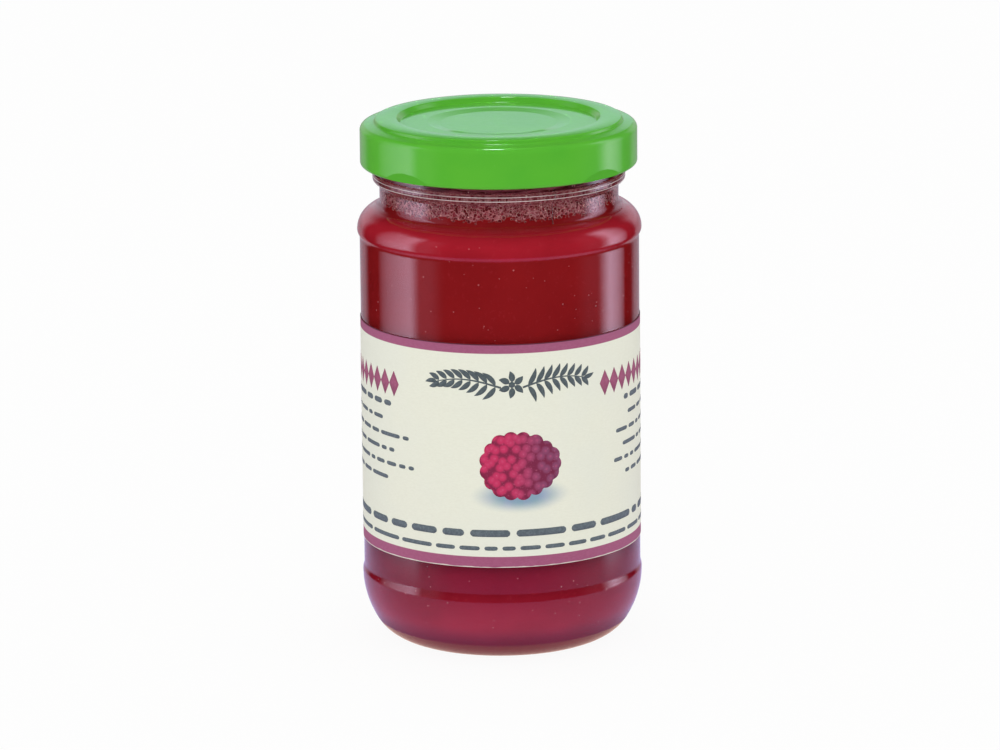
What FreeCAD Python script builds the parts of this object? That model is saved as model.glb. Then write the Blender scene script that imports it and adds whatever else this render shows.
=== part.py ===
import FreeCAD, Part
import math
import os

# A glass jar of fruit nectar with a pressed metal twist-off lid and a paper label.
# Origin: on the axis at the level of the ring that the jar stands on, +Z up. Millimetres.

# Lid: everything round follows from its outside radius.
lid_radius = 33.25
lid_height = 11.4
sheet = 0.35                 # tinplate with its lacquer
seal = 0.8                   # sealing compound that lines the channel
curl_radius = 0.85
channel_inset = 1.7          # inner edge of the ridge, inside the mouth of the jar
channel_room = 0.1           # outer edge of the ridge, outside the finish
ridge_dip = 0.15             # inner edge of the ridge below its crown
ridge_fall = 0.3             # outer edge of the ridge below its crown
ridge_peak = 0.1             # where its two slopes would meet above the crown
ridge_crown = 13.5           # bend radius of the crown
ridge_slope = 0.9            # how far the ridge spreads inwards at its foot
ridge_wall = 0.2             # how far it spreads outwards at its foot
ridge_rise = 1.1             # crown of the ridge above the upper edge of the deck
deck_drop = 0.7              # fall of the deck from the ridge to the side
lid_round = 1.5              # between the deck and the side
panel_depth = 1.3            # panel below the crown of the ridge
button_margin = 6.3          # flat ring of the panel outside the button
button_slope = 3.2
button_drop = 0.35
crease = 0.35                # small bend radius of the pressed sheet
button_bend = 1.6
lug_count = 4
lug_span = 14.0              # degrees of arc of each lug
lug_height = 2.0
lug_reach = 2.7              # from the outside of the skirt to the tip of a lug
lug_clearance = 0.1          # under the thread lug
lug_first_angle = 48.0
flat_depth = 0.85            # slanting flat pressed into the skirt over each lug
flat_height = 2.4

# Finish of the jar: sealing rim, thread lugs and transfer bead.
skirt_gap = 1.7              # from the inside of the skirt to the thread lugs
thread_depth = 1.7
thread_height = 2.1
thread_span = 44.0           # degrees of arc of each thread lug
thread_lead = 3.0            # slope of each thread lug, degrees
rim_round = 0.9
bead_depth = 0.85            # transfer bead over the finish
bead_flank = 2.2             # height of the bead's sloping lower flank
bead_height = 3.4
bead_round = 0.3
bead_gap = 1.8               # from the bead to the bottom of the lid

# Body of the jar.
wall = 2.6
neck_depth = 0.8             # neck inside the finish
overhang = 4.9               # straight side outside the neck
neck_height = 10.5           # from the upper guard bulge to the transfer bead
shoulder_radius = 5.5
neck_blend = 2.0             # hollow between shoulder and neck
upper_guard = 0.6            # slight bulges that guard the edges of the label
lower_guard = 0.35
guard_step = 2.0             # height over which a guard bulge runs into the side
body_height = 100.5          # level of the upper guard bulge
heel_height = 16.0           # level of the lower guard bulge, where the heel ends
heel_run = 11.5              # from the foot of the heel out to the lower guard bulge
heel_bend = 0.84             # bend at the foot of the heel, as a share of its shorter run
foot_width = 2.0             # flat ring that the jar stands on
push_up = 2.0                # rise of the underside at the axis
dome_flat = 4.0              # radius of the level middle of the underside and the floor
floor_thickness = 4.0
floor_crown = 1.5            # rise of the inner floor at the axis
inner_heel_run = 10.5

# Contents.
fill_height = 6.7            # nectar above the upper guard bulge
foam_thickness = 10.8

# Label.
label_height = 54.5
label_margin = 6.7           # bare side between the lower guard and the label
paper = 0.15
label_gap = 14.0             # bare glass between the two ends of the label, at the back

# Radii, from the lid inwards and from the neck outwards.
thread_crest = lid_radius - sheet - skirt_gap
finish_radius = thread_crest - thread_depth
bead_radius = finish_radius + bead_depth
neck_radius = finish_radius - neck_depth
mouth_radius = neck_radius - wall
panel_radius = neck_radius + overhang
bore_radius = panel_radius - wall
upper_guard_radius = panel_radius + upper_guard
lower_guard_radius = panel_radius + lower_guard
foot_radius = lower_guard_radius - heel_run
floor_radius = bore_radius - inner_heel_run
ridge_inner = mouth_radius - channel_inset
ridge_outer = finish_radius + channel_room
ridge_middle = (ridge_inner + ridge_outer) / 2
button_radius = ridge_inner - ridge_slope - button_margin
lug_tip = lid_radius - lug_reach

# Heights, from the foot upwards.
bead_bottom = body_height + neck_height
bead_top = bead_bottom + bead_height
lid_bottom = bead_top + bead_gap
lid_top = lid_bottom + lid_height
rim_top = lid_top - sheet - seal
lug_top = lid_bottom + lug_height
nectar_level = body_height + fill_height
foam_top = nectar_level + foam_thickness
label_bottom = heel_height + guard_step + label_margin

Z_AXIS = FreeCAD.Vector(0, 0, 1)
ORIGIN = FreeCAD.Vector(0, 0, 0)


def point(r, z):
    return FreeCAD.Vector(r, 0, z)


def line(start, end):
    return Part.LineSegment(point(*start), point(*end)).toShape()


def arc(start, middle, end):
    return Part.Arc(point(*start), point(*middle), point(*end)).toShape()


def rim_corner(centre_r, centre_z, radius, turn):
    """Quarter circle that rounds an upright side into a level rim above it."""
    slant = radius * math.sqrt(0.5)
    side = (centre_r + turn * radius, centre_z)
    return arc(side, (centre_r + turn * slant, centre_z + slant), (centre_r, centre_z + radius))


def heel(foot, side):
    """Two arcs from a level foot to an upright side, the tighter one at the foot."""
    run = side[0] - foot[0]
    rise = side[1] - foot[1]
    tight = heel_bend * min(run, rise)
    wide = (run ** 2 + rise ** 2 - 2 * rise * tight) / (2 * (run - tight))
    low_centre = (foot[0], foot[1] + tight)
    high_centre = (side[0] - wide, side[1])
    turn = math.atan2(low_centre[1] - high_centre[1], low_centre[0] - high_centre[0])
    low_angle = (turn - math.pi / 2) / 2
    meet = on_circle(low_centre, tight, turn)
    return [
        arc(foot, on_circle(low_centre, tight, low_angle), meet),
        arc(meet, on_circle(high_centre, wide, turn / 2), side)]


def on_circle(centre, radius, angle):
    return (centre[0] + radius * math.cos(angle), centre[1] + radius * math.sin(angle))


def dome(edge_radius, edge_z, crown):
    """Arc from the edge of a shallow dome to a small flat on the axis, and that flat."""
    sphere = (edge_radius ** 2 + crown ** 2) / (2 * crown)
    centre = (0, edge_z + crown - sphere)
    edge_angle = math.acos(edge_radius / sphere)
    flat_angle = math.acos(dome_flat / sphere)
    flat = on_circle(centre, sphere, flat_angle)
    middle = on_circle(centre, sphere, (edge_angle + flat_angle) / 2)
    return [arc((edge_radius, edge_z), middle, flat), line(flat, (0, flat[1]))]


def ogee(start, end):
    """Two equal arcs between two upright lines of different radius."""
    rise = end[1] - start[1]
    step = end[0] - start[0]
    bend = (rise ** 2 + step ** 2) / (4 * abs(step))
    turn = math.asin(abs(rise) / 2 / bend) / 2
    sign = math.copysign(1, step)
    up = math.copysign(1, rise)
    middle = ((start[0] + end[0]) / 2, (start[1] + end[1]) / 2)
    out = sign * bend * (1 - math.cos(turn))
    along = up * bend * math.sin(turn)
    first = arc(start, (start[0] + out, start[1] + along), middle)
    second = arc(middle, (end[0] - out, end[1] - along), end)
    return [first, second]


def shoulder(body, neck, bend, blend, base):
    """Round shoulder and hollow blend from an upright body to an upright neck.

    Returns the two arcs and the height at which the neck begins.
    """
    across = neck + blend - (body - bend)
    up = math.sqrt((bend + blend) ** 2 - across ** 2)
    angle = math.atan2(up, across)
    top = base + up
    touch = (body - bend + bend * math.cos(angle), base + bend * math.sin(angle))
    on_bend = (body - bend + bend * math.cos(angle / 2), base + bend * math.sin(angle / 2))
    on_blend = (neck + blend - blend * math.cos(angle / 2), top - blend * math.sin(angle / 2))
    return [arc((body, base), on_bend, touch), arc(touch, on_blend, (neck, top))], top


def revolved(edges, degrees=360.0):
    face = Part.Face(Part.Wire(Part.__sortEdges__(edges)))
    return face.revolve(ORIGIN, Z_AXIS, degrees)


def ring(inner, outer, bottom, top, degrees=360.0):
    """Plain ring, or the part of one that is centred on +X."""
    corners = [(inner, bottom), (outer, bottom), (outer, top), (inner, top)]
    return sector(corners, degrees)


def sector(corners, degrees):
    """Polygon turned about the axis through an arc that is centred on +X."""
    edges = [line(a, b) for a, b in zip(corners, corners[1:] + corners[:1])]
    solid = revolved(edges, degrees)
    solid.rotate(ORIGIN, Z_AXIS, -degrees / 2)
    return solid


def patterned(solid):
    """Copies of a solid at the places of the lugs."""
    copies = []
    for index in range(lug_count):
        copy = solid.copy()
        copy.rotate(ORIGIN, Z_AXIS, lug_first_angle + index * 360.0 / lug_count)
        copies.append(copy)
    return copies


def jar_outside():
    dome_radius = foot_radius - foot_width
    edges = dome(dome_radius, 0, push_up)
    underside = edges[-1].Vertexes[-1].Point
    edges.append(line((dome_radius, 0), (foot_radius, 0)))
    edges += heel((foot_radius, 0), (lower_guard_radius, heel_height))
    panel_start = (panel_radius, heel_height + guard_step)
    panel_end = (panel_radius, body_height - guard_step)
    edges += ogee((lower_guard_radius, heel_height), panel_start)
    edges.append(line(panel_start, panel_end))
    edges += ogee(panel_end, (upper_guard_radius, body_height))
    arcs, neck_start = shoulder(
        upper_guard_radius, neck_radius, shoulder_radius, neck_blend, body_height)
    edges += arcs
    bead_side = bead_bottom + bead_flank
    edges.append(line((neck_radius, neck_start), (neck_radius, bead_bottom)))
    edges += ogee((neck_radius, bead_bottom), (bead_radius, bead_side))
    edges.append(line((bead_radius, bead_side), (bead_radius, bead_top - bead_round)))
    edges.append(rim_corner(bead_radius - bead_round, bead_top - bead_round, bead_round, 1))
    edges.append(line((bead_radius - bead_round, bead_top), (finish_radius, bead_top)))
    edges.append(line((finish_radius, bead_top), (finish_radius, rim_top - rim_round)))
    edges.append(rim_corner(finish_radius - rim_round, rim_top - rim_round, rim_round, 1))
    edges.append(line((finish_radius - rim_round, rim_top), (0, rim_top)))
    edges.append(line((0, rim_top), (0, underside.z)))
    return revolved(edges)


def bore():
    """Inside of the jar, from the floor to the mouth."""
    edges = dome(floor_radius, floor_thickness, floor_crown)
    floor = edges[-1].Vertexes[-1].Point
    edges += heel((floor_radius, floor_thickness), (bore_radius, heel_height))
    edges.append(line((bore_radius, heel_height), (bore_radius, body_height)))
    inner_bend = shoulder_radius - wall
    inner_blend = neck_blend + wall
    arcs, neck_start = shoulder(
        bore_radius, mouth_radius, inner_bend, inner_blend, body_height)
    edges += arcs
    edges.append(line((mouth_radius, neck_start), (mouth_radius, rim_top - rim_round)))
    edges.append(rim_corner(mouth_radius + rim_round, rim_top - rim_round, rim_round, -1))
    edges.append(line((mouth_radius + rim_round, rim_top), (0, rim_top)))
    edges.append(line((0, rim_top), (0, floor.z)))
    return revolved(edges)


def thread_lug():
    """Sloping lug on the finish, under which a lug of the lid locks."""
    root = finish_radius - thread_depth / 2
    half_width = math.radians(lug_span / 2) * thread_crest
    under = lug_top + lug_clearance + half_width * math.tan(math.radians(thread_lead))
    corners = [
        (root, under),
        (thread_crest, under),
        (thread_crest, under + thread_height - thread_depth),
        (root, under + thread_height)]
    solid = sector(corners, thread_span)
    solid.rotate(point(0, under), FreeCAD.Vector(1, 0, 0), thread_lead)
    return solid


def jar():
    glass = jar_outside().cut(bore())
    return glass.fuse(patterned(thread_lug())).removeSplitter()


def filling(bottom, top):
    """What fills the bore between two levels."""
    slab = Part.makeCylinder(bore_radius * 2, top - bottom, point(0, bottom))
    return bore().common(slab)


def rounded_path(corners):
    """Edges of a path with a bend at each corner given as (r, z, bend radius)."""
    start = FreeCAD.Vector(corners[0][0], 0, corners[0][1])
    edges = []
    for before, corner, after in zip(corners, corners[1:], corners[2:]):
        here = point(corner[0], corner[1])
        back = (point(before[0], before[1]) - here).normalize()
        forth = (point(after[0], after[1]) - here).normalize()
        half = back.getAngle(forth) / 2
        cut = corner[2] / math.tan(half)
        middle_line = (back + forth).normalize()
        middle = here + middle_line * (corner[2] / math.sin(half) - corner[2])
        edges.append(Part.LineSegment(start, here + back * cut).toShape())
        edges.append(Part.Arc(here + back * cut, middle, here + forth * cut).toShape())
        start = here + forth * cut
    edges.append(Part.LineSegment(start, point(corners[-1][0], corners[-1][1])).toShape())
    return edges


def lid_face(depth):
    """Pressed form of the lid, from its axis to the curl, at a depth in the sheet."""
    panel = lid_top - panel_depth - depth
    deck_top = lid_top - ridge_rise
    deck_edge = deck_top - deck_drop
    side = lid_radius - depth
    return [
        (0, panel - button_drop, 0),
        (button_radius - button_slope, panel - button_drop, button_bend),
        (button_radius, panel, button_bend),
        (ridge_inner - ridge_slope + depth, panel, crease + depth),
        (ridge_inner + depth, lid_top - ridge_dip - depth, crease),
        (ridge_middle, lid_top + ridge_peak - depth, ridge_crown),
        (ridge_outer - depth, lid_top - ridge_fall - depth, crease),
        (ridge_outer + ridge_wall - depth, deck_top - depth, crease + depth),
        (side, deck_edge - depth, lid_round - depth)]


def lid_shell():
    curl_z = lid_bottom + curl_radius
    inner_side = lid_radius - sheet
    curl_top = curl_z + math.sqrt(curl_radius ** 2 - (curl_radius - sheet) ** 2)
    outer = lid_face(0) + [(lid_radius, curl_z, 0)]
    inner = lid_face(sheet) + [(inner_side, curl_top, 0)]
    edges = rounded_path(outer) + rounded_path(inner)
    edges.append(line((outer[0][0], outer[0][1]), (inner[0][0], inner[0][1])))
    curl_inside = (lid_radius - 2 * curl_radius, curl_z)
    diagonal = curl_radius * math.sqrt(0.5)
    edges.append(arc(
        (lid_radius, curl_z),
        (lid_radius - curl_radius, lid_bottom),
        curl_inside))
    edges.append(arc(
        curl_inside,
        (lid_radius - curl_radius - diagonal, curl_z + diagonal),
        (inner_side, curl_top)))
    return revolved(edges)


def lug():
    """Lug of the lid that reaches under a thread lug of the glass."""
    return ring(lug_tip, lid_radius - sheet / 2, lid_bottom + curl_radius / 2, lug_top, lug_span)


def lug_flat():
    """What the slanting flat over a lug takes off the outside of the skirt."""
    width = 2 * lid_radius
    block = Part.makeBox(width, width, width, FreeCAD.Vector(0, -width / 2, -width))
    slant = math.degrees(math.atan2(flat_depth, flat_height))
    block.rotate(ORIGIN, FreeCAD.Vector(0, 1, 0), slant)
    block.translate(point(lid_radius, lid_bottom + flat_height))
    return block


def lid():
    shell = lid_shell()
    lining_inner = ridge_inner + sheet
    lining_outer = ridge_outer - sheet
    lining = sector([
        (lining_inner, rim_top),
        (lining_outer, rim_top),
        (lining_outer, rim_top + seal - ridge_fall),
        (ridge_middle, rim_top + seal + ridge_peak),
        (lining_inner, rim_top + seal - ridge_dip)], 360.0)
    body = shell.fuse([lining] + patterned(lug()))
    return body.cut(patterned(lug_flat())).removeSplitter()


def label():
    """Paper round the straight side, open at the back."""
    angle = 360.0 - math.degrees(label_gap / panel_radius)
    top = label_bottom + label_height
    sleeve = ring(panel_radius, panel_radius + paper, label_bottom, top, angle)
    sleeve.rotate(ORIGIN, Z_AXIS, -90)
    return sleeve


parts = {
    "jar": jar(),
    "nectar": filling(0, nectar_level),
    "foam": filling(nectar_level, foam_top),
    "label": label(),
    "lid": lid(),
}

os.makedirs("parts", exist_ok=True)
for name, shape in parts.items():
    shape.exportStep("parts/" + name + ".step")
    print(name, "solids", len(shape.Solids), "valid", shape.isValid(),
          "volume", round(shape.Volume), "mm3")
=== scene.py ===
import math
import random

import bmesh
import bpy
from mathutils import Matrix, Vector, noise


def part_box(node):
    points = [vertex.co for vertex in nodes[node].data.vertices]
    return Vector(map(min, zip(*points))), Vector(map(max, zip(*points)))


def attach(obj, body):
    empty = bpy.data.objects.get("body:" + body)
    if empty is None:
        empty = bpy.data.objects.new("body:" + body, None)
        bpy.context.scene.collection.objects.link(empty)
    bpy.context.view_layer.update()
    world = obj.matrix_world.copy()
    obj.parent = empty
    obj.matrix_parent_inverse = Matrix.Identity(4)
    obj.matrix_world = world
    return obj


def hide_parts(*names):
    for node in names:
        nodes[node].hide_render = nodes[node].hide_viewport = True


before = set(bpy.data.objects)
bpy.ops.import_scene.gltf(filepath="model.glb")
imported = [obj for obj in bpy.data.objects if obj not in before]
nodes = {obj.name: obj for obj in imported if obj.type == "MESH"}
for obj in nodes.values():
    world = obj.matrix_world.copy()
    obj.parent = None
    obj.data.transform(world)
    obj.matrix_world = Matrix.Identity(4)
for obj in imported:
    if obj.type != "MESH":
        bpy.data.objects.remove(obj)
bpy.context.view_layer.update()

mm = 0.001
print("frame loaded:", ", ".join(sorted(nodes)))


# ---- shader helpers

def tone(red, green, blue):
    # a screen colour, 0 to 255, as the linear values that a shader takes
    parts = [value / 255 for value in (red, green, blue)]
    return tuple(p / 12.92 if p <= 0.04045 else ((p + 0.055) / 1.055) ** 2.4 for p in parts)


class Wire:
    # one socket of a node; sums and products of wires add Math nodes
    def __init__(self, tree, socket):
        self.tree = tree
        self.socket = socket

    def maths(self, operation, *values):
        return self.tree.node("Math", {"operation": operation}, dict(enumerate(values)))

    def __add__(self, other):
        return self.maths("ADD", self, other)

    def __sub__(self, other):
        return self.maths("SUBTRACT", self, other)

    def __rsub__(self, other):
        return self.maths("SUBTRACT", other, self)

    def __mul__(self, other):
        return self.maths("MULTIPLY", self, other)

    def __truediv__(self, other):
        return self.maths("DIVIDE", self, other)

    def __pow__(self, other):
        return self.maths("POWER", self, other)

    def __abs__(self):
        return self.maths("ABSOLUTE", self)

    __radd__ = __add__
    __rmul__ = __mul__

    def step(self, low, high, kind="SMOOTHSTEP"):
        # 0 at low, 1 at high, and a smooth or even rise between the two
        values = {"Value": self, "From Min": low, "From Max": high}
        return self.tree.node("MapRange", {"interpolation_type": kind}, values)

    def band(self, low, high, edge):
        # 1 between low and high, 0 outside, over an edge that wide
        half = edge / 2
        return self.step(low - half, low + half) * (1 - self.step(high - half, high + half))


class Tree:
    def __init__(self, owner):
        owner.use_nodes = True
        self.nodes = owner.node_tree.nodes
        self.links = owner.node_tree.links
        self.nodes.clear()

    def node(self, kind, settings=None, values=None, output=0):
        made = self.nodes.new("ShaderNode" + kind)
        for name, setting in (settings or {}).items():
            setattr(made, name, setting)
        for name, value in (values or {}).items():
            socket = made.inputs[name]
            if isinstance(value, Wire):
                self.links.new(value.socket, socket)
            elif isinstance(value, tuple) and socket.type == "RGBA":
                socket.default_value = (*value, 1.0)
            else:
                socket.default_value = value
        return Wire(self, made.outputs[output]) if made.outputs else None

    def place(self):
        return self.node("TexCoord", output="Object")

    def axes(self, vector):
        made = self.node("SeparateXYZ", values={0: vector}).socket.node
        return [Wire(self, socket) for socket in made.outputs]

    def turn(self, x, y):
        # angle round the axis: 0 at the front, and it grows to the right
        return self.node("Math", {"operation": "ARCTAN2"}, {0: x, 1: -1 * y})

    def mix(self, share, first, second):
        return self.node("Mix", {"data_type": "RGBA"}, {0: share, 6: first, 7: second}, 2)

    def grain(self, vector, size, detail=2.0, roughness=0.5):
        # noise from about 0 to 1, with lumps of this size in metres
        values = {"Vector": vector, "Scale": 1 / size, "Detail": detail, "Roughness": roughness}
        return self.node("TexNoise", None, values)

    def stretch(self, vector, scale):
        return self.node("VectorMath", {"operation": "MULTIPLY"}, {0: vector, 1: scale})

    def bump(self, height, depth):
        return self.node("Bump", None, {"Strength": 1.0, "Distance": depth, "Height": height})

    def rays(self, *kinds):
        # which kind of ray is looking, such as Camera or Glossy: 1 or 0 for each
        path = self.node("LightPath").socket.node
        return [Wire(self, path.outputs["Is " + kind + " Ray"]) for kind in kinds]


def finish(name, shading):
    made = bpy.data.materials.new(name)
    tree = Tree(made)
    tree.node("OutputMaterial", None, {"Surface": shading(tree)})
    return made


# ---- mesh helpers

def addPiece(name, mesh, material):
    mesh.materials.append(material)
    for face in mesh.polygons:
        face.use_smooth = True
    piece = bpy.data.objects.new(name, mesh)
    bpy.context.scene.collection.objects.link(piece)
    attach(piece, "root")
    print("piece", name, "has", len(mesh.polygons), "faces")
    return piece


def meshFrom(name, points, faces):
    mesh = bpy.data.meshes.new(name)
    mesh.from_pydata(points, [], faces)
    mesh.validate()
    shape = bmesh.new()
    shape.from_mesh(mesh)
    bmesh.ops.recalc_face_normals(shape, faces=shape.faces)
    shape.to_mesh(mesh)
    shape.free()
    return mesh


def around(radius, turn, height):
    # a point on a circle round the axis; turn 0 is the front, and it grows to the right
    return Vector((radius * math.sin(turn), -radius * math.cos(turn), height))


def fullTurn(count):
    return [math.tau * s / count for s in range(count)]


def rings(name, rows, top, bottom):
    # skin over rows of points that all have the same count, with a pole point at either end
    count = len(rows[0])
    points = [point for row in rows for point in row]
    faces = []
    for r in range(len(rows) - 1):
        for s in range(count):
            n = (s + 1) % count
            faces.append((r * count + s, r * count + n, (r + 1) * count + n, (r + 1) * count + s))
    for pole, row in ((bottom, 0), (top, len(rows) - 1)):
        points.append(pole)
        last = len(points) - 1
        faces += [(row * count + s, row * count + (s + 1) % count, last) for s in range(count)]
    return meshFrom(name, points, faces)


# ---- jar of glass

glass = {
    "tint": tone(254, 255, 255),
    "refraction": 1.52,
    "roughness": 0.012,
    "smears": 0.03,          # roughness that handling adds in soft patches
    "smearSize": 12.0 * mm,
    "rippleSize": 18.0 * mm,
    "rippleDepth": 0.03 * mm,
    "shade": tone(252, 253, 253),                # what it does to a lamp's light
}


def glassShading(tree):
    place = tree.place()
    smears = tree.grain(place, glass["smearSize"], 4).step(0.55, 0.8)
    upright = tree.stretch(place, (1.0, 1.0, 0.35))
    ripple = tree.grain(upright, glass["rippleSize"], 1.0)
    clear = tree.node("BsdfPrincipled", None, {
        "Base Color": glass["tint"],
        "Roughness": glass["roughness"] + smears * glass["smears"],
        "IOR": glass["refraction"],
        "Transmission Weight": 1.0,
        "Normal": tree.bump(ripple, glass["rippleDepth"]),
    })
    shadow = tree.rays("Shadow")[0]
    through = tree.node("BsdfTransparent", None, {"Color": glass["shade"]})
    return tree.node("MixShader", None, {0: shadow, 1: clear, 2: through})


clearGlass = finish("clearGlass", glassShading)
nodes["jar"].material_slots[0].material = clearGlass
print("jar done")


# ---- nectar

nectar = {
    "reach": 0.25 * mm,      # how far it reaches into the wall
    "segments": 240,
    "top": 110.0 * mm,       # its wall goes on behind the foam's ragged edge
    "deep": tone(167, 35, 39),
    "paintedLight": tone(190, 38, 54),
    "shoulder": (99.2 * mm, 103.8 * mm),         # painted light: a brighter band under the shoulder, where light from above comes through
    "paintedBaseLight": (                                   # painted light towards the base, where light comes up through the foot: foot and top of each change of colour
        (20.5 * mm, 29.0 * mm, tone(166, 32, 50)),
        (8.0 * mm, 18.0 * mm, tone(212, 48, 72)),
        (4.5 * mm, 9.5 * mm, tone(150, 40, 78)),
    ),
    "cloud": tone(130, 20, 24),
    "cloudSize": 16.0 * mm,
    "pulp": tone(204, 62, 74),
    "pulpSize": 1.1 * mm,
    "pulpDepth": 0.04 * mm,
    "specks": 540,
    "speckHeights": (6.2 * mm, 106.8 * mm),
    "speckSizes": (0.12, 0.14, 0.16, 0.2, 0.26),             # radii, mm
    "speckTones": (tone(190, 76, 86), tone(232, 158, 160)),
    "speckSunk": 0.35,                           # share of its radius that a speck lies in the nectar
}


def boreOutline():
    # the rings of the CAD solid, from the middle of the floor up to the mouth
    middle = 55 * mm
    seen = {}
    for vertex in nodes["nectar"].data.vertices:
        radius = math.hypot(vertex.co.x, vertex.co.y)
        seen[(round(radius, 5), round(vertex.co.z, 5))] = (radius, vertex.co.z)
    outline = sorted(seen.values(), key=lambda p: math.atan2(p[0], middle - p[1]))
    return [p for p in outline if p[0] > 1 * mm]


outline = boreOutline()


def boreRadius(height):
    floorEdge = 20.4 * mm
    wall = [p for p in outline if p[0] > floorEdge]
    for low, high in zip(wall, wall[1:]):
        if low[1] <= height <= high[1]:
            share = (height - low[1]) / max(high[1] - low[1], 1e-9)
            return low[0] + (high[0] - low[0]) * share
    return wall[-1][0] if height > wall[-1][1] else wall[0][0]


def grown(points, reach):
    # the outline moved outwards along its own normals
    moved = []
    for i, (radius, height) in enumerate(points):
        before = points[max(i - 1, 0)]
        after = points[min(i + 1, len(points) - 1)]
        along = Vector((after[0] - before[0], after[1] - before[1])).normalized()
        moved.append((radius + along.y * reach, height - along.x * reach))
    return moved


def nectarShading(tree):
    place = tree.place()
    x, y, z = tree.axes(place)
    cloud = tree.grain(place, nectar["cloudSize"], 3)
    pulp = tree.grain(place, nectar["pulpSize"], 3, 0.65)
    # painted light: the nectar is made brighter red under the shoulder, where light from above comes
    # through the glass
    paintedLightBand = z.band(*nectar["shoulder"], 1.2 * mm)
    colour = tree.mix(paintedLightBand, nectar["deep"], nectar["paintedLight"])
    # painted light: bands of colour towards the base stand in for light coming through the foot
    for foot, top, shade in nectar["paintedBaseLight"]:
        colour = tree.mix(1 - z.step(foot, top), colour, shade)
    colour = tree.mix(cloud.step(0.35, 0.75) * 0.25, colour, nectar["cloud"])
    colour = tree.mix(pulp.step(0.58, 0.72) * 0.22, colour, nectar["pulp"])
    return tree.node("BsdfPrincipled", None, {
        "Base Color": colour,
        "Roughness": 0.42 + pulp * 0.2,
        "Specular IOR Level": 0.0,
        "Normal": tree.bump(pulp, nectar["pulpDepth"]),
    })


def makeNectar():
    profile = grown(outline + [(outline[-1][0], nectar["top"])], nectar["reach"])
    turns = fullTurn(nectar["segments"])
    rows = [[around(r, turn, z) for turn in turns] for r, z in profile]
    low, high = profile[0][1], profile[-1][1]
    mesh = rings("nectarBody", rows, Vector((0, 0, high)), Vector((0, 0, low)))
    piece = addPiece("nectarBody", mesh, finish("berryNectar", nectarShading))
    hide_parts("nectar")


makeNectar()


# ---- bubbles: low domes that press against the wall

domeLevels = ((0.0, 1.0), (0.5, 0.866), (0.85, 0.527))     # height and width, as shares of the radius
bubbleSides = 8
speckSides = 6


def dome(points, faces, centre, out, radius, sides):
    # the outer half of a ball on a flat back
    out = out.normalized()
    side = out.orthogonal().normalized()
    up = out.cross(side)
    start = len(points)
    for level, width in domeLevels:
        for s in range(sides):
            angle = math.tau * s / sides
            spread = side * math.cos(angle) + up * math.sin(angle)
            points.append(centre + out * radius * level + spread * radius * width)
    points.append(centre + out * radius)
    top = len(points) - 1
    rises = len(domeLevels) - 1
    for ring in range(rises):
        for s in range(sides):
            n = (s + 1) % sides
            a = start + ring * sides
            faces.append((a + s, a + n, a + sides + n, a + sides + s))
    last = start + rises * sides
    faces += [(last + s, last + (s + 1) % sides, top) for s in range(sides)]
    faces.append(tuple(start + s for s in reversed(range(sides))))


def speckShading(tree):
    pulp = tree.grain(tree.place(), 0.9 * mm, 2)
    return tree.node("BsdfPrincipled", None, {
        "Base Color": tree.mix(pulp, *nectar["speckTones"]),
        "Roughness": 0.3 + pulp * 0.2,
        "Specular IOR Level": 0.0,
    })


def makeSpecks():
    chance = random.Random(11)
    points, faces = [], []
    for i in range(nectar["specks"]):
        height = chance.uniform(*nectar["speckHeights"])
        turn = chance.uniform(0, math.tau)
        size = chance.choice(nectar["speckSizes"]) * mm
        centre = around(boreRadius(height) + nectar["reach"] - size * nectar["speckSunk"], turn, height)
        dome(points, faces, centre, around(1, turn, 0), size, speckSides)
    mesh = meshFrom("nectarSpecks", points, faces)
    addPiece("nectarSpecks", mesh, finish("nectarSpeck", speckShading))


makeSpecks()


# ---- foam

foam = {
    "reach": 0.3 * mm,
    "segments": 480,
    "bottom": 107.6 * mm,    # mean level of its ragged lower edge
    "ragged": 1.5 * mm,
    "top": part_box("foam")[1][2],
    "foot": (23.5 * mm, 106.6 * mm),             # edge of its hidden underside: radius and height
    "rises": (0.0, 0.04, 0.15, 0.3, 0.45, 0.6, 0.75, 0.9, 0.97, 1.0),        # rings up its side, as shares
    "crown": (24.5, 21.5, 17.0, 12.0, 7.0, 3.0),             # radii of the rings of its bubbly top, mm
    "sunk": 0.3 * mm,                            # how far that top lies below the edge
    "deep": tone(138, 34, 48),
    "middle": tone(182, 76, 90),
    "cloudSize": 4.0 * mm,
    "pale": tone(236, 172, 176),
    "paleSize": 1.1 * mm,
    "cells": ((1.4 * mm, 0.6), (0.8 * mm, 0.45)),            # bubbles: their size and how clearly they show
    "cellDepth": 0.1 * mm,
    "neck": 113.5 * mm,                          # above this level it is darker and streaked: painted shade under the lid, over a real streaked film of nectar
    "neckTones": (tone(92, 30, 38), tone(176, 92, 106)),
    "streakSize": 1.6 * mm,
    "bubbles": (                                 # count, radii from and to, heights from and to, all mm
        (520, 0.32, 0.6, -0.1, 4.8),
        (2300, 0.14, 0.32, -0.5, 5.2),
        (260, 0.15, 0.3, 5.0, 10.0),
    ),
    "paintedGlintShare": 0.14,                            # share of the small ones painted white all over, as a painted highlight
    "paintedGlintSize": 0.3 * mm,
    "rims": (1.0, 0.8, 0.15, 0.0),               # how pale a bubble is, from its rim to its middle
    "rimTones": (tone(120, 26, 38), tone(255, 214, 206), tone(222, 132, 138)),
    "bubbleSunk": 0.4,                           # share of its radius that a bubble lies in the foam
}


def raggedEdge(turn):
    wave = noise.noise(around(6.0, turn, 3.0)) + 0.6 * noise.noise(around(17.0, turn, 8.0))
    return foam["bottom"] + foam["ragged"] * 0.75 * wave


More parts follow.
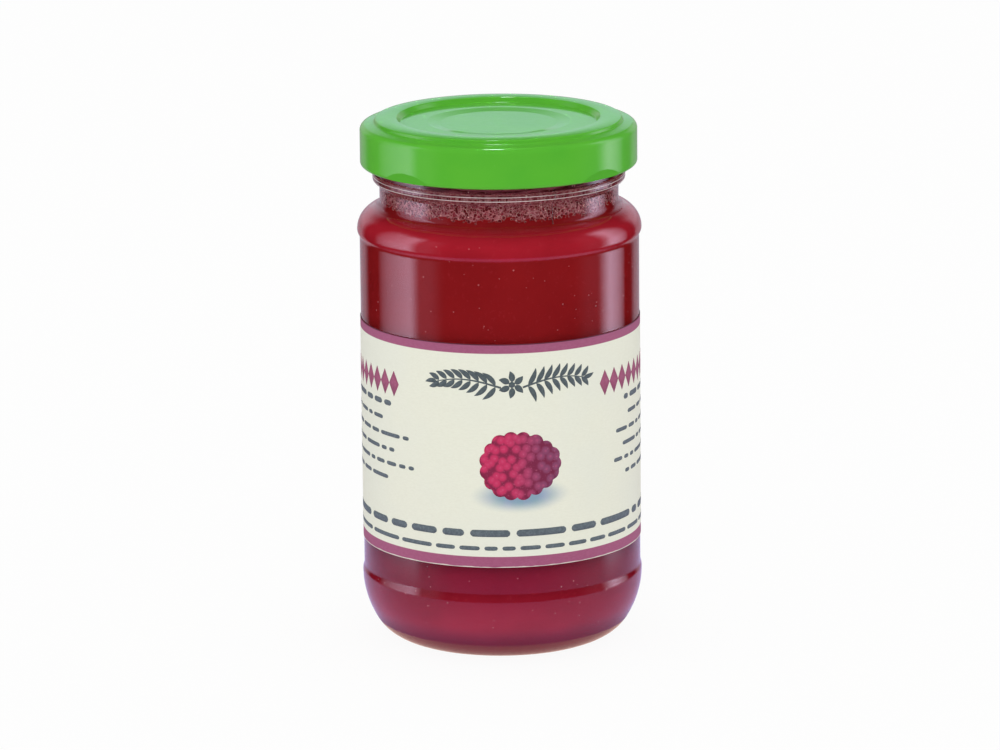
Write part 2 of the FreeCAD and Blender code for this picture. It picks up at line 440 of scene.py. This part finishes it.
def foamShading(tree):
    place = tree.place()
    x, y, z = tree.axes(place)
    cloud = tree.grain(place, foam["cloudSize"], 3)
    patches = tree.grain(place, foam["paleSize"], 3, 0.7).step(0.3, 0.6)
    colour = tree.mix(cloud.step(0.35, 0.7), foam["deep"], foam["middle"])
    froth = 0.0
    for size, share in foam["cells"]:
        values = {"Vector": place, "Scale": 1 / size}
        wall = 1 - tree.node("TexVoronoi", {"feature": "DISTANCE_TO_EDGE"}, values).step(0.03, 0.2)
        wall = wall * patches * share
        colour = tree.mix(wall, colour, foam["pale"])
        froth = froth + wall
    streak = tree.grain(tree.stretch(place, (0.25, 0.25, 3.0)), foam["streakSize"], 3, 0.6)
    # painted shade under the lid, mixed with a real streaked film of nectar, above the neck level
    neck = tree.mix(streak.step(0.4, 0.65), *foam["neckTones"])
    colour = tree.mix(z.step(foam["neck"] - 0.2 * mm, foam["neck"] + 0.2 * mm), colour, neck)
    return tree.node("BsdfPrincipled", None, {
        "Base Color": colour,
        "Roughness": 0.6 - froth * 0.2,
        "Specular IOR Level": 0.0,
        "Normal": tree.bump(froth, foam["cellDepth"]),
    })


def makeFoam():
    turns = fullTurn(foam["segments"])
    footRadius, footHeight = foam["foot"]
    level = foam["top"] - foam["sunk"]
    rows = [[around(footRadius, turn, footHeight) for turn in turns]]
    for share in foam["rises"]:
        row = []
        for turn in turns:
            low = raggedEdge(turn)
            height = low + (foam["top"] - low) * share
            reach = foam["reach"] * (1.0 if 0 < share < 1 else 0.3)
            row.append(around(boreRadius(height) + reach, turn, height))
        rows.append(row)
    for radius in foam["crown"]:
        row = []
        for turn in turns:
            at = around(radius * mm, turn, 0)
            lift = noise.noise(at * 420) * 0.35 * mm + noise.noise(at * 1400) * 0.15 * mm
            row.append(around(radius * mm, turn, level + lift))
        rows.append(row)
    mesh = rings("foamBody", rows, Vector((0, 0, level)), Vector((0, 0, footHeight)))
    piece = addPiece("foamBody", mesh, finish("berryFoam", foamShading))
    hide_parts("foam")


def bubbleShading(tree):
    place = tree.place()
    cloud = tree.grain(place, 1.6 * mm, 2)
    rim = tree.node("Attribute", {"attribute_name": "rim"}, output="Fac")
    dark, pale, rosy = foam["rimTones"]
    edge = tree.mix(cloud.step(0.3, 0.7), pale, rosy)
    return tree.node("BsdfPrincipled", None, {
        "Base Color": tree.mix(rim.step(0.2, 0.8), dark, edge),
        "Roughness": 0.15 + cloud * 0.25,
        "Specular IOR Level": 0.2,
    })


def makeBubbles():
    chance = random.Random(29)
    points, faces, rims = [], [], []
    dull = [value for value in foam["rims"][:-1] for s in range(bubbleSides)] + [foam["rims"][-1]]
    for count, small, large, low, high in foam["bubbles"]:
        for i in range(count):
            turn = chance.uniform(0, math.tau)
            size = (small + (large - small) * chance.random() ** 2) * mm
            height = raggedEdge(turn) + chance.uniform(low, high) * mm
            height = min(height, foam["top"] - size)
            centre = around(boreRadius(height) + foam["reach"] - size * foam["bubbleSunk"], turn, height)
            dome(points, faces, centre, around(1, turn, 0), size, bubbleSides)
            # painted highlight: some small bubbles are coloured white all over to stand in for glints
            glints = chance.random() < foam["paintedGlintShare"] and size < foam["paintedGlintSize"]
            rims += [1.0] * len(dull) if glints else dull
    mesh = meshFrom("foamBubbles", points, faces)
    mesh.attributes.new("rim", "FLOAT", "POINT").data.foreach_set("value", rims)
    addPiece("foamBubbles", mesh, finish("foamBubble", bubbleShading))


makeFoam()
makeBubbles()


# ---- label paper, with its bands and the soft shadow under the printed fruit

label = {
    "radius": 33.75 * mm,
    "paper": tone(242, 243, 227),
    "mauve": tone(166, 88, 124),
    "low": 24.7 * mm,
    "high": 79.2 * mm,
    "lowBand": 27.35 * mm,                       # top of the lower band
    "highBand": 76.95 * mm,                      # foot of the upper band
    "ink": tone(178, 103, 138),                  # lighter fibres in the bands
    "fibre": tone(230, 230, 213),
    "fibreSize": 0.9 * mm,
    "fibreDepth": 0.02 * mm,
    "cloud": tone(236, 239, 228),
    "cloudSize": 20.0 * mm,
    "trim": tone(226, 214, 206),                 # bare cut edge at the foot
    "trimWave": 0.5 * mm,                        # how uneven that is
    "topLine": tone(104, 44, 62),
    "fruit": (4.4 * mm, 49.6 * mm),              # middle of the printed fruit: run and height
    "shadow": (4.6 * mm, 42.2 * mm),             # middle of its shadow
    "shadowHalf": (10.4 * mm, 3.6 * mm),
    "shadowTones": (tone(104, 152, 178), tone(122, 150, 190)),
}


def labelShading(tree):
    place = tree.place()
    x, y, z = tree.axes(place)
    run = tree.turn(x, y) * label["radius"]
    fibre = tree.grain(tree.stretch(place, (1.0, 1.0, 2.5)), label["fibreSize"], 3, 0.6)
    cloud = tree.grain(place, label["cloudSize"], 2)
    paper = tree.mix(fibre.step(0.3, 0.75) * 0.3, label["paper"], label["fibre"])
    paper = tree.mix(cloud.step(0.35, 0.7) * 0.4, paper, label["cloud"])
    shadowRun, shadowHeight = label["shadow"]
    halfWide, halfTall = label["shadowHalf"]
    across = (run - shadowRun) / halfWide
    down = (z - shadowHeight) / halfTall
    far = (across * across + down * down) ** 0.5
    shade = 1 - far.step(0.35, 1.25)
    patch = tree.grain(place, 3.0 * mm, 2)
    shadow = tree.mix(patch.step(0.3, 0.7), *label["shadowTones"])
    paper = tree.mix(shade * 0.85, paper, shadow)
    bands = 1 - z.band(label["lowBand"], label["highBand"], 0.12 * mm)
    bandInk = tree.mix(fibre.step(0.35, 0.7) * 0.5, label["mauve"], label["ink"])
    colour = tree.mix(bands, paper, bandInk)
    uneven = tree.grain(tree.stretch(place, (1.0, 1.0, 0.1)), 3.0 * mm, 3) * label["trimWave"]
    trim = 1 - (z - uneven).step(label["low"] - 0.1 * mm, label["low"])
    colour = tree.mix(trim, colour, label["trim"])
    line = z.step(label["high"] - 0.28 * mm, label["high"] - 0.18 * mm)
    colour = tree.mix(line, colour, label["topLine"])
    return tree.node("BsdfPrincipled", None, {
        "Base Color": colour,
        "Roughness": 0.52 + fibre * 0.14,
        "Specular IOR Level": 0.3,
        "Normal": tree.bump(fibre, label["fibreDepth"]),
    })


nodes["label"].material_slots[0].material = finish("labelPaper", labelShading)
print("label done")


# ---- what is printed on the label: thin skins just proud of the paper

ink = {
    "grainSize": 0.6 * mm,
    "proud": 0.03 * mm,
    "sunk": 0.05 * mm,
    "slate": (tone(84, 96, 101), tone(104, 116, 121)),       # each ink with its lighter grain
    "slateFine": (tone(92, 104, 112), tone(126, 138, 145)),
    "mauve": (tone(161, 82, 116), tone(178, 104, 136)),
}


def onLabel(run, height, lift):
    return around(label["radius"] + lift, run / label["radius"], height)


class Print:
    # flat shapes in the label's own run and height, in mm, closed into thin skins
    def __init__(self):
        self.points = []
        self.faces = []

    def layers(self, columns):
        # the points of the shown face, then those of the hidden one
        for lift in (ink["proud"], -ink["sunk"]):
            for column in columns:
                for run, height in column:
                    self.points.append(onLabel(run * mm, height * mm, lift))

    def cells(self, front, back, left, right, tall):
        # both faces between two columns that start at left and right
        for r in range(tall - 1):
            a, b = left + r, right + r
            self.faces.append((front + a, front + b, front + b + 1, front + a + 1))
            self.faces.append((back + a, back + a + 1, back + b + 1, back + b))

    def patch(self, columns):
        # columns of (run, height) points from left to right, all with the same count
        tall = len(columns[0])
        wide = len(columns)
        start = len(self.points)
        back = start + wide * tall
        self.layers(columns)
        for c in range(wide - 1):
            self.cells(start, back, c * tall, (c + 1) * tall, tall)
        edge = [c * tall for c in range(wide)]
        edge += [(wide - 1) * tall + r for r in range(1, tall)]
        edge += [c * tall + tall - 1 for c in range(wide - 2, -1, -1)]
        edge += [r for r in range(tall - 2, 0, -1)]
        for a, b in zip(edge, edge[1:] + edge[:1]):
            self.faces.append((start + a, back + a, back + b, start + b))

    def wheel(self, run, height, spokes):
        # a closed round patch: spokes of points from its edge in towards the middle
        start = len(self.points)
        tall = len(spokes[0])
        count = len(spokes)
        back = start + count * tall
        self.layers(spokes)
        for c in range(count):
            left, right = c * tall, (c + 1) % count * tall
            self.cells(start, back, left, right, tall)
            self.faces.append((start + left, back + left, back + right, start + right))
        for base, lift in ((start, ink["proud"]), (back, -ink["sunk"])):
            self.points.append(onLabel(run * mm, height * mm, lift))
            middle = len(self.points) - 1
            for c in range(count):
                n = (c + 1) % count
                self.faces.append((base + c * tall + tall - 1, base + n * tall + tall - 1, middle))

    def strip(self, centres, widths):
        # a line or a leaf: half widths square to a path of (run, height) points
        columns = []
        for i, (run, height) in enumerate(centres):
            before = centres[max(i - 1, 0)]
            after = centres[min(i + 1, len(centres) - 1)]
            along = Vector((after[0] - before[0], after[1] - before[1])).normalized()
            aside = (along.y * widths[i], -along.x * widths[i])
            columns.append([
                (run + aside[0], height + aside[1]),
                (run, height),
                (run - aside[0], height - aside[1]),
            ])
        self.patch(columns)

    def bar(self, run, height, length, tall):
        # a rounded bar that starts at run, about its own middle height
        half = tall / 2
        count = max(4, int(length / 1.2) + 4)
        columns = []
        for i in range(count + 1):
            share = 0.5 - 0.5 * math.cos(math.pi * i / count)
            at = length * share
            near = min(at, length - at, half)
            reach = math.sqrt(max(half ** 2 - (half - near) ** 2, (0.12 * half) ** 2))
            columns.append([(run + at, height + rise) for rise in (-reach, 0, reach)])
        self.patch(columns)

    def leaf(self, run, height, length, angle, width):
        steps = 8
        centres, widths = [], []
        for i in range(steps + 1):
            share = i / steps
            bend = angle + sprig["leafBend"] * (share - 0.5) * (1 if math.sin(angle) > 0 else -1)
            centres.append((
                run + length * share * math.cos(bend),
                height + length * share * math.sin(bend),
            ))
            widths.append(width / 2 * max(math.sin(math.pi * share ** 0.8) ** 0.8, 0.06))
        self.strip(centres, widths)

    def disc(self, run, height, radius):
        self.bar(run - radius, height, radius * 2, radius * 2)

    def finish(self, name, material):
        addPiece(name, meshFrom(name, self.points, self.faces), material)


def inkShading(colour, lighter):
    def shading(tree):
        grain = tree.grain(tree.place(), ink["grainSize"], 3, 0.6)
        return tree.node("BsdfPrincipled", None, {
            "Base Color": tree.mix(grain.step(0.35, 0.75) * 0.6, colour, lighter),
            "Roughness": 0.5 + grain * 0.12,
            "Specular IOR Level": 0.3,
        })
    return shading


sprig = {                    # in mm
    "middle": (2.6, 69.6),
    "half": 18.4,            # half its length
    "gap": 2.6,              # from the middle to each stem
    "arch": 1.9,             # rise of each stem
    "points": 25,            # along each stem
    "pairs": 8,
    "leaf": 4.3,
    "leafWidth": 1.25,
    "leafBend": 0.35,        # how far a leaf curves, radians
    "tip": (3.0, 1.1),       # last leaf: length and width
    "petals": 6,
    "petal": (2.6, 1.5),
    "eye": 0.75,
}


def makeSprig():
    drawn = Print()
    run, height = sprig["middle"]
    last = sprig["points"] - 1
    for side in (-1, 1):
        stem = []
        for i in range(sprig["points"]):
            share = i / last
            stem.append((
                run + side * (sprig["gap"] + (sprig["half"] - sprig["gap"]) * share),
                height - 0.9 + sprig["arch"] * math.sin(share * 2.6),
            ))
        drawn.strip(stem, [0.24 - 0.006 * i for i in range(sprig["points"])])
        for i in range(sprig["pairs"]):
            at = 2 + int(i * (last - 3) / (sprig["pairs"] - 1))
            size = sprig["leaf"] * (1 - 0.045 * i)
            for up in (-1, 1):
                lean = up * (0.95 - 0.04 * i)
                angle = lean if side > 0 else math.pi - lean
                drawn.leaf(stem[at][0], stem[at][1] + up * 0.2, size, angle, sprig["leafWidth"])
        length, width = sprig["tip"]
        drawn.leaf(*stem[-1], length, 0.05 if side > 0 else math.pi - 0.05, width)
    length, width = sprig["petal"]
    height -= 0.2
    for i in range(sprig["petals"]):
        turn = math.tau * (i + 0.5) / sprig["petals"]
        drawn.leaf(run + 0.7 * math.cos(turn), height + 0.7 * math.sin(turn), length, turn, width)
    drawn.disc(run, height, sprig["eye"])
    drawn.finish("printSprig", finish("slateInk", inkShading(*ink["slate"])))


lines = {                    # in mm; bars stand for words
    "long": (                # rows right round: height, thickness, bar lengths, gap
        (33.1, 1.7, (5.5, 7.2, 9.6, 12.4, 3.4), 1.5),
        (29.4, 1.0, (3.2, 5.0, 7.4, 9.0, 11.0), 1.1),
    ),
    "ends": (-92, 92),
    "left": (-66, -21.5),
    "right": (30.5, 74),
    "short": ((62.1, 8.5), (58.2, 12.0), (54.4, 2.5), (50.8, 7.5), (47.3, 1.0), (43.8, 9.5)),
    "thick": 1.3,            # the first short row
    "thin": 0.95,            # the others
    "bars": (2.2, 3.6, 5.2, 7.4),
    "gap": 1.0,
}


def makeLines():
    chance = random.Random(5)
    drawn = Print()

    def row(start, end, height, tall, bars, gap):
        at = start
        while at < end - tall:
            length = min(chance.choice(bars), end - at)
            if length > tall:
                drawn.bar(at, height, length, tall)
            at += length + gap

    for height, tall, bars, gap in lines["long"]:
        row(*lines["ends"], height, tall, bars, gap)
    for side in ("left", "right"):
        low, high = lines[side]
        for i, (height, indent) in enumerate(lines["short"]):
            # the short rows are ragged on the side that faces the fruit
            start = low if side == "left" else low + indent * 0.6
            end = high - indent if side == "left" else high
            row(start, end, height, lines["thin"] if i else lines["thick"], lines["bars"], lines["gap"])
    drawn.finish("printLines", finish("slateInkFine", inkShading(*ink["slateFine"])))


diamond = {                  # in mm
    "starts": (-58.6, 26.0),
    "count": 9,
    "pitch": 3.5,
    "height": 67.2,
    "halfWide": 1.72,
    "halfTall": 3.1,
    "blunt": 0.04,           # half height of its side corners
    "columns": 7,
}


def makeDiamonds():
    drawn = Print()
    for start in diamond["starts"]:
        for i in range(diamond["count"]):
            middle = start + diamond["pitch"] * (i + 0.5)
            columns = []
            for c in range(diamond["columns"]):
                across = 2 * c / (diamond["columns"] - 1) - 1
                half = diamond["halfTall"] * (1 - abs(across)) + diamond["blunt"]
                run = middle + diamond["halfWide"] * across
                columns.append([(run, diamond["height"] + rise) for rise in (-half, 0, half)])
            drawn.patch(columns)
    drawn.finish("printDiamonds", finish("mauveInk", inkShading(*ink["mauve"])))


fruit = {                    # in mm
    "lobes": 17,
    "left": 7.9,             # from the middle to the lobes
    "right": 8.4,
    "up": 6.9,
    "taper": 0.9,            # how much lower it is at the right end than in the middle
    "lobe": (1.75, 0.25),    # least radius, and how much is added by chance
    "least": 3.0,
    "spokes": 136,
    "shares": (1.0, 0.85, 0.65, 0.45, 0.25, 0.06),
    "cells": 2.0,            # size of its small round parts
    "specks": 0.45,
    "tones": (tone(206, 48, 98), tone(142, 70, 108)),        # lit left side, shaded right side
    "creases": tone(126, 26, 66),
    "middles": tone(222, 92, 138),
    "glints": tone(226, 120, 156),
}


def fruitShading(tree):
    place = tree.place()
    x, y, z = tree.axes(place)
    run = tree.turn(x, y) * label["radius"]
    flat = tree.node("CombineXYZ", None, {"X": run, "Y": z})
    values = {"Vector": flat, "Scale": 1 / (fruit["cells"] * mm)}
    cells = tree.node("TexVoronoi", {"voronoi_dimensions": "2D"}, values)
    speck = tree.grain(flat, fruit["specks"] * mm, 2, 0.7)
    middle = label["fruit"][0]
    side = run.step(middle - 4 * mm, middle + 7 * mm)
    colour = tree.mix(side, *fruit["tones"])
    colour = tree.mix(cells.step(0.3, 0.7) * 0.85, colour, fruit["creases"])
    colour = tree.mix((1 - cells.step(0.0, 0.3)) * 0.3, colour, fruit["middles"])
    colour = tree.mix(speck.step(0.6, 0.72) * 0.45, colour, fruit["glints"])
    return tree.node("BsdfPrincipled", None, {
        "Base Color": colour,
        "Roughness": 0.5 + speck * 0.12,
        "Specular IOR Level": 0.3,
    })


def fruitLobes():
    # round lobes on its outline, from the right end on: across, up and radius of each
    chance = random.Random(8)
    least, extra = fruit["lobe"]
    lobes = []
    for i in range(fruit["lobes"]):
        turn = math.tau * i / fruit["lobes"]
        across, up = math.cos(turn), math.sin(turn)
        wide = fruit["left"] if across < 0 else fruit["right"]
        lobes.append((
            wide * across,
            (fruit["up"] - fruit["taper"] * across) * up * 0.95,
            least + extra * chance.random(),
        ))
    return lobes


def fruitReach(lobes, turn):
    # how far the outermost lobe goes in this direction
    ahead = Vector((math.cos(turn), math.sin(turn)))
    best = fruit["least"]
    for across, up, radius in lobes:
        along = ahead.x * across + ahead.y * up
        off = abs(ahead.x * up - ahead.y * across)
        if off < radius and along > 0:
            best = max(best, along + math.sqrt(radius ** 2 - off ** 2))
    return best


def makeFruit():
    drawn = Print()
    run, height = [value / mm for value in label["fruit"]]
    lobes = fruitLobes()
    spokes = []
    for turn in fullTurn(fruit["spokes"]):
        far = fruitReach(lobes, turn)
        across, up = far * math.cos(turn), far * math.sin(turn)
        spokes.append([(run + across * share, height + up * share) for share in fruit["shares"]])
    drawn.wheel(run, height, spokes)
    drawn.finish("printFruit", finish("fruitInk", fruitShading))


makeSprig()
makeLines()
makeDiamonds()
makeFruit()


# ---- lid

lid = {
    "green": tone(93, 189, 51),
    "shade": tone(80, 180, 48),
    "shadeSize": 14.0 * mm,
    "dust": tone(132, 198, 110),
    "dustSize": 1.6 * mm,
    "peelSize": 0.9 * mm,
    "peelDepth": 0.006 * mm,
}


def lidShading(tree):
    place = tree.place()
    peel = tree.grain(place, lid["peelSize"], 2)
    cloud = tree.grain(place, lid["shadeSize"], 3)
    dust = tree.grain(place, lid["dustSize"], 4, 0.7)
    colour = tree.mix(cloud.step(0.3, 0.75) * 0.6, lid["green"], lid["shade"])
    colour = tree.mix(dust.step(0.66, 0.8) * 0.3, colour, lid["dust"])
    return tree.node("BsdfPrincipled", None, {
        "Base Color": colour,
        "Roughness": 0.34 + dust * 0.12,
        "Specular IOR Level": 0.1,
        "Coat Weight": 0.5 + peel * 0.1,
        "Coat Roughness": 0.06,
        "Coat IOR": 1.5,
        "Normal": tree.bump(peel, lid["peelDepth"]),
    })


nodes["lid"].material_slots[0].material = finish("greenLacquer", lidShading)
print("lid done")


# ---- mould seams of the jar, a fine raised line on two opposite sides

ridge = ((-1, -0.6), (-0.5, 0.75), (0, 1), (0.5, 0.75), (1, -0.6))     # section: across and up, as shares

outside = 60 * mm            # rays that look for the glass start out here

seam = {
    "turns": (25.9, 205.9),                      # degrees from the front
    "low": 106.5 * mm,
    "high": 115.2 * mm,
    "half": 0.14 * mm,
    "proud": 0.05 * mm,
    "fade": 4.0 * mm,                            # its lower end fades out over this
    "steps": 60,
}


def makeSeams():
    jar = nodes["jar"]
    points, faces = [], []
    wide = len(ridge)
    for degrees in seam["turns"]:
        turn = math.radians(degrees)
        inward = -around(1, turn, 0)
        side = Vector((math.cos(turn), math.sin(turn), 0))
        rows = []
        for i in range(seam["steps"] + 1):
            height = seam["low"] + (seam["high"] - seam["low"]) * i / seam["steps"]
            hit, where, normal, face = jar.ray_cast(around(outside, turn, height), inward)
            if hit:
                fade = min(1.0, 0.15 + (height - seam["low"]) / seam["fade"])
                rows.append((where, normal, fade))
        start = len(points)
        for where, normal, fade in rows:
            for across, lift in ridge:
                points.append(where + side * seam["half"] * across + normal * seam["proud"] * lift * fade)
        for i in range(len(rows) - 1):
            a, b = start + i * wide, start + (i + 1) * wide
            for s in range(wide):
                n = (s + 1) % wide
                faces.append((a + s, a + n, b + n, b + s))
        for end in (start, start + (len(rows) - 1) * wide):
            faces.append(tuple(end + s for s in range(wide)))
    mesh = meshFrom("mouldSeams", points, faces)
    addPiece("mouldSeams", mesh, clearGlass)


makeSeams()


# ---- parting lines round the bead, where the mould's neck ring met its body; their near-white colour is a painted highlight

neckRing = {
    "heights": (112.75 * mm, 113.75 * mm),
    "half": 0.125 * mm,
    "proud": 0.05 * mm,
    # painted highlight: near-white tones that stand in for the lines of light on the bead
    "tones": (tone(255, 244, 240), tone(232, 205, 210)),
    "highlightPatchSize": 2.5 * mm,
    "segments": 240,
}


def ringShading(tree):
    highlightPatches = tree.grain(tree.place(), neckRing["highlightPatchSize"], 3)
    # painted highlight: the raised lines are coloured near white, patchy along their length
    return tree.node("BsdfPrincipled", None, {
        "Base Color": tree.mix(highlightPatches, *neckRing["tones"]),
        "Roughness": 0.28 + highlightPatches * 0.2,
        "Specular IOR Level": 0.5,
    })


def makeNeckRings():
    jar = nodes["jar"]
    points, faces = [], []
    count = neckRing["segments"]
    wide = len(ridge)
    for height in neckRing["heights"]:
        hit, where, normal, face = jar.ray_cast(around(outside, 0, height), Vector((0, 1, 0)))
        out, up = -normal.y, normal.z
        start = len(points)
        for turn in fullTurn(count):
            waver = 0.8 + 0.4 * noise.noise(around(4.0, turn, height * 900))
            for across, lift in ridge:
                step = neckRing["half"] * across * waver
                rise = neckRing["proud"] * lift
                radius = -where.y + out * rise - up * step
                points.append(around(radius, turn, where.z + up * rise + out * step))
        for s in range(count):
            a, b = start + s * wide, start + (s + 1) % count * wide
            for i in range(wide):
                j = (i + 1) % wide
                faces.append((a + i, a + j, b + j, b + i))
    mesh = meshFrom("neckRings", points, faces)
    addPiece("neckRings", mesh, finish("paintedHighlightGlass", ringShading))


makeNeckRings()


# ---- room, lamp and camera; heights in the room are on a ball of radius 1

studio = {
    "fill": 0.86,                                # even light from all round
    "key": 4.0,
    "keySize": 1.1,
    "keyPlace": (-0.1, -1.3, 1.2),
    "aim": (0, 0, 0.06),
    "leftPanel": {                               # panels: degrees from the front
        "haze": (-45.0, -62.0),
        "rise": (-68.5, -81.0),
        "far": -120.0,
        "faint": 0.42,
        "strength": 3.3,
    },
    "rightPanel": {
        "haze": (62.0, 80.0),
        "rise": (87.0, 104.0),
        "far": 126.0,
        "faint": 0.18,
        "strength": 3.8,
    },
    "panelTint": (0.95, 0.82, 1.08),
    "panelFade": 0.12,                           # how much dimmer they are above eye level,
    "panelDim": (0.08, 0.16),                    # over this height
    "panelTop": (0.55, 0.75),                    # where they end, above
    "panelFoot": (-0.45, -0.25),                 # and below
    "behind": 0.83,                              # light of the wall behind the jar
    "behindSide": (136.0, 150.0),                # where it starts, degrees from the front
    "behindTop": (0.22, 0.5),
    "behindFoot": (-0.05, 0.1),                  # it is dimmer below this,
    "behindDim": 0.35,                           # by this share
    "behindLow": (0.9, 0.8, 0.95),               # its colour
    "behindHigh": (0.93, 1.23, 1.33),            # and that of its upper middle
    "middleSide": (168.0, 176.0),
    "middleFoot": (0.0, 0.1),
    "window": (-0.03, 0.15, 0.075, 0.17),        # a small bright light overhead: middle and half size
    "windowEdge": (0.7, 1.0),
    "windowFoot": (0.5, 0.6),                    # none of it below this
    "windowLight": 36.0,
    "floorHalf": 4.0,
    "floorTones": (tone(240, 240, 239), tone(244, 244, 243)),
    "floorGrain": 10.0 * mm,
    "floorWhite": 0.93,
    "floorUnder": (0.84, 0.6, 0.52),             # what polished things see of the floor under the jar,
    "floorDark": (0.32, 0.24, 0.36),             # where its foot shades it,
    "floorFront": (0.7, 0.22, 0.64),             # in front of it
    "floorOpen": (0.6, 0.54, 0.88),              # and beside it
    "underEdge": (30.2 * mm, 31.0 * mm),         # where one gives way to the next
    "darkEdge": (29.0 * mm, 38.0 * mm),
    "frontEdge": (-0.11, -0.03),
    "tableEdge": (0.08, 0.17),                   # polished things see the floor out to here
}

white = (1.0, 1.0, 1.0)


def panelLight(turn, panel):
    # a soft light panel: hazy near side, bright middle, and a fall to its far edge
    glow = turn.step(*panel["haze"]) * panel["faint"] + turn.step(*panel["rise"]) * panel["strength"]
    return glow * turn.step(panel["far"], panel["rise"][1], "LINEAR")


def roomShading(tree):
    place = tree.node("TexCoord", output="Generated")
    x, y, z = tree.axes(place)
    turn = tree.turn(x, y) * (180 / math.pi)
    panels = panelLight(turn, studio["leftPanel"]) + panelLight(turn, studio["rightPanel"])
    panels = panels * (1 - z.step(*studio["panelTop"])) * z.step(*studio["panelFoot"])
    panels = panels * (1 - z.step(*studio["panelDim"]) * studio["panelFade"])
    rear = abs(turn).step(*studio["behindSide"])
    lower = (1 - studio["behindDim"]) + z.step(*studio["behindFoot"]) * studio["behindDim"]
    behind = rear * (1 - z.step(*studio["behindTop"])) * lower
    middleX, middleY, halfX, halfY = studio["window"]
    across = (x - middleX) / halfX
    along = (y - middleY) / halfY
    window = 1 - ((across * across + along * along) ** 0.5).step(*studio["windowEdge"])
    window = window * z.step(*studio["windowFoot"])
    room = panels + behind * studio["behind"] + window * studio["windowLight"]
    upperMiddle = abs(turn).step(*studio["middleSide"]) * z.step(*studio["middleFoot"])
    rearTint = tree.mix(upperMiddle, studio["behindLow"], studio["behindHigh"])
    tint = tree.mix(rear, studio["panelTint"], rearTint)
    camera, glossy, through = tree.rays("Camera", "Glossy", "Transmission")
    shine = tree.node("Background", None, {"Color": tint, "Strength": room})
    even = tree.node("Background", None, {"Color": white, "Strength": studio["fill"]})
    backdrop = tree.node("Background", None, {"Color": white, "Strength": 1.0})
    lit = tree.node("MixShader", None, {0: glossy, 1: even, 2: shine})
    return tree.node("MixShader", None, {0: camera.maths("MAXIMUM", camera, through), 1: lit, 2: backdrop})


def floorShading(tree):
    place = tree.place()
    camera, glossy, through = tree.rays("Camera", "Glossy", "Transmission")
    colour = tree.mix(tree.grain(place, studio["floorGrain"], 2), *studio["floorTones"])
    paper = tree.node("BsdfDiffuse", None, {"Color": colour})
    plain = tree.node("Emission", None, {"Color": white, "Strength": 1.0})
    seen = camera.maths("MAXIMUM", camera, through) * studio["floorWhite"]
    pale = tree.node("MixShader", None, {0: seen, 1: paper, 2: plain})
    x, y, z = tree.axes(place)
    away = (x * x + y * y) ** 0.5
    beside = tree.mix(y.step(*studio["frontEdge"]), studio["floorFront"], studio["floorOpen"])
    glow = tree.mix(away.step(*studio["underEdge"]), studio["floorUnder"], studio["floorDark"])
    glow = tree.mix(away.step(*studio["darkEdge"]), glow, beside)
    dim = tree.node("Emission", None, {"Color": glow, "Strength": 1.0})
    gone = tree.node("BsdfTransparent")
    shown = tree.node("MixShader", None, {0: away.step(*studio["tableEdge"]), 1: dim, 2: gone})
    return tree.node("MixShader", None, {0: glossy, 1: pale, 2: shown})


def makeStudio():
    scene = bpy.context.scene
    world = bpy.data.worlds.new("room")
    scene.world = world
    tree = Tree(world)
    tree.node("OutputWorld", None, {"Surface": roomShading(tree)})

    half = studio["floorHalf"]
    corners = [(-half, -half, 0), (half, -half, 0), (half, half, 0), (-half, half, 0)]
    mesh = meshFrom("floor", corners, [(0, 1, 2, 3)])
    mesh.materials.append(finish("paleFloor", floorShading))
    floor = bpy.data.objects.new("floor", mesh)
    scene.collection.objects.link(floor)
    floor.location.z = -0.1 * mm

    lamp = bpy.data.lights.new("keyLamp", "AREA")
    lamp.energy = studio["key"]
    lamp.size = studio["keySize"]
    lamp.specular_factor = 0.0
    key = bpy.data.objects.new("keyLamp", lamp)
    key.location = studio["keyPlace"]
    key.rotation_euler = (Vector(studio["aim"]) - key.location).to_track_quat("-Z", "Y").to_euler()
    key.visible_glossy = False
    scene.collection.objects.link(key)
    print("studio done")


view = {
    "place": (-0.18 * mm, -1363.0 * mm, 392.7 * mm),
    "pitch": 13.57,          # degrees down
    "roll": -0.55,
    "lens": 208.7,
    "sensor": 36.0,
}


def makeCamera():
    scene = bpy.context.scene
    data = bpy.data.cameras.new("camera")
    data.sensor_width = view["sensor"]
    data.lens = view["lens"]
    data.clip_start = 0.05
    camera = bpy.data.objects.new("camera", data)
    turned = Matrix.Rotation(math.radians(90 - view["pitch"]), 3, "X")
    turned = turned @ Matrix.Rotation(math.radians(view["roll"]), 3, "Z")
    camera.location = view["place"]
    camera.rotation_euler = turned.to_euler()
    scene.collection.objects.link(camera)
    scene.camera = camera
    scene.view_settings.view_transform = "Standard"
    print("camera done")


makeStudio()
makeCamera()
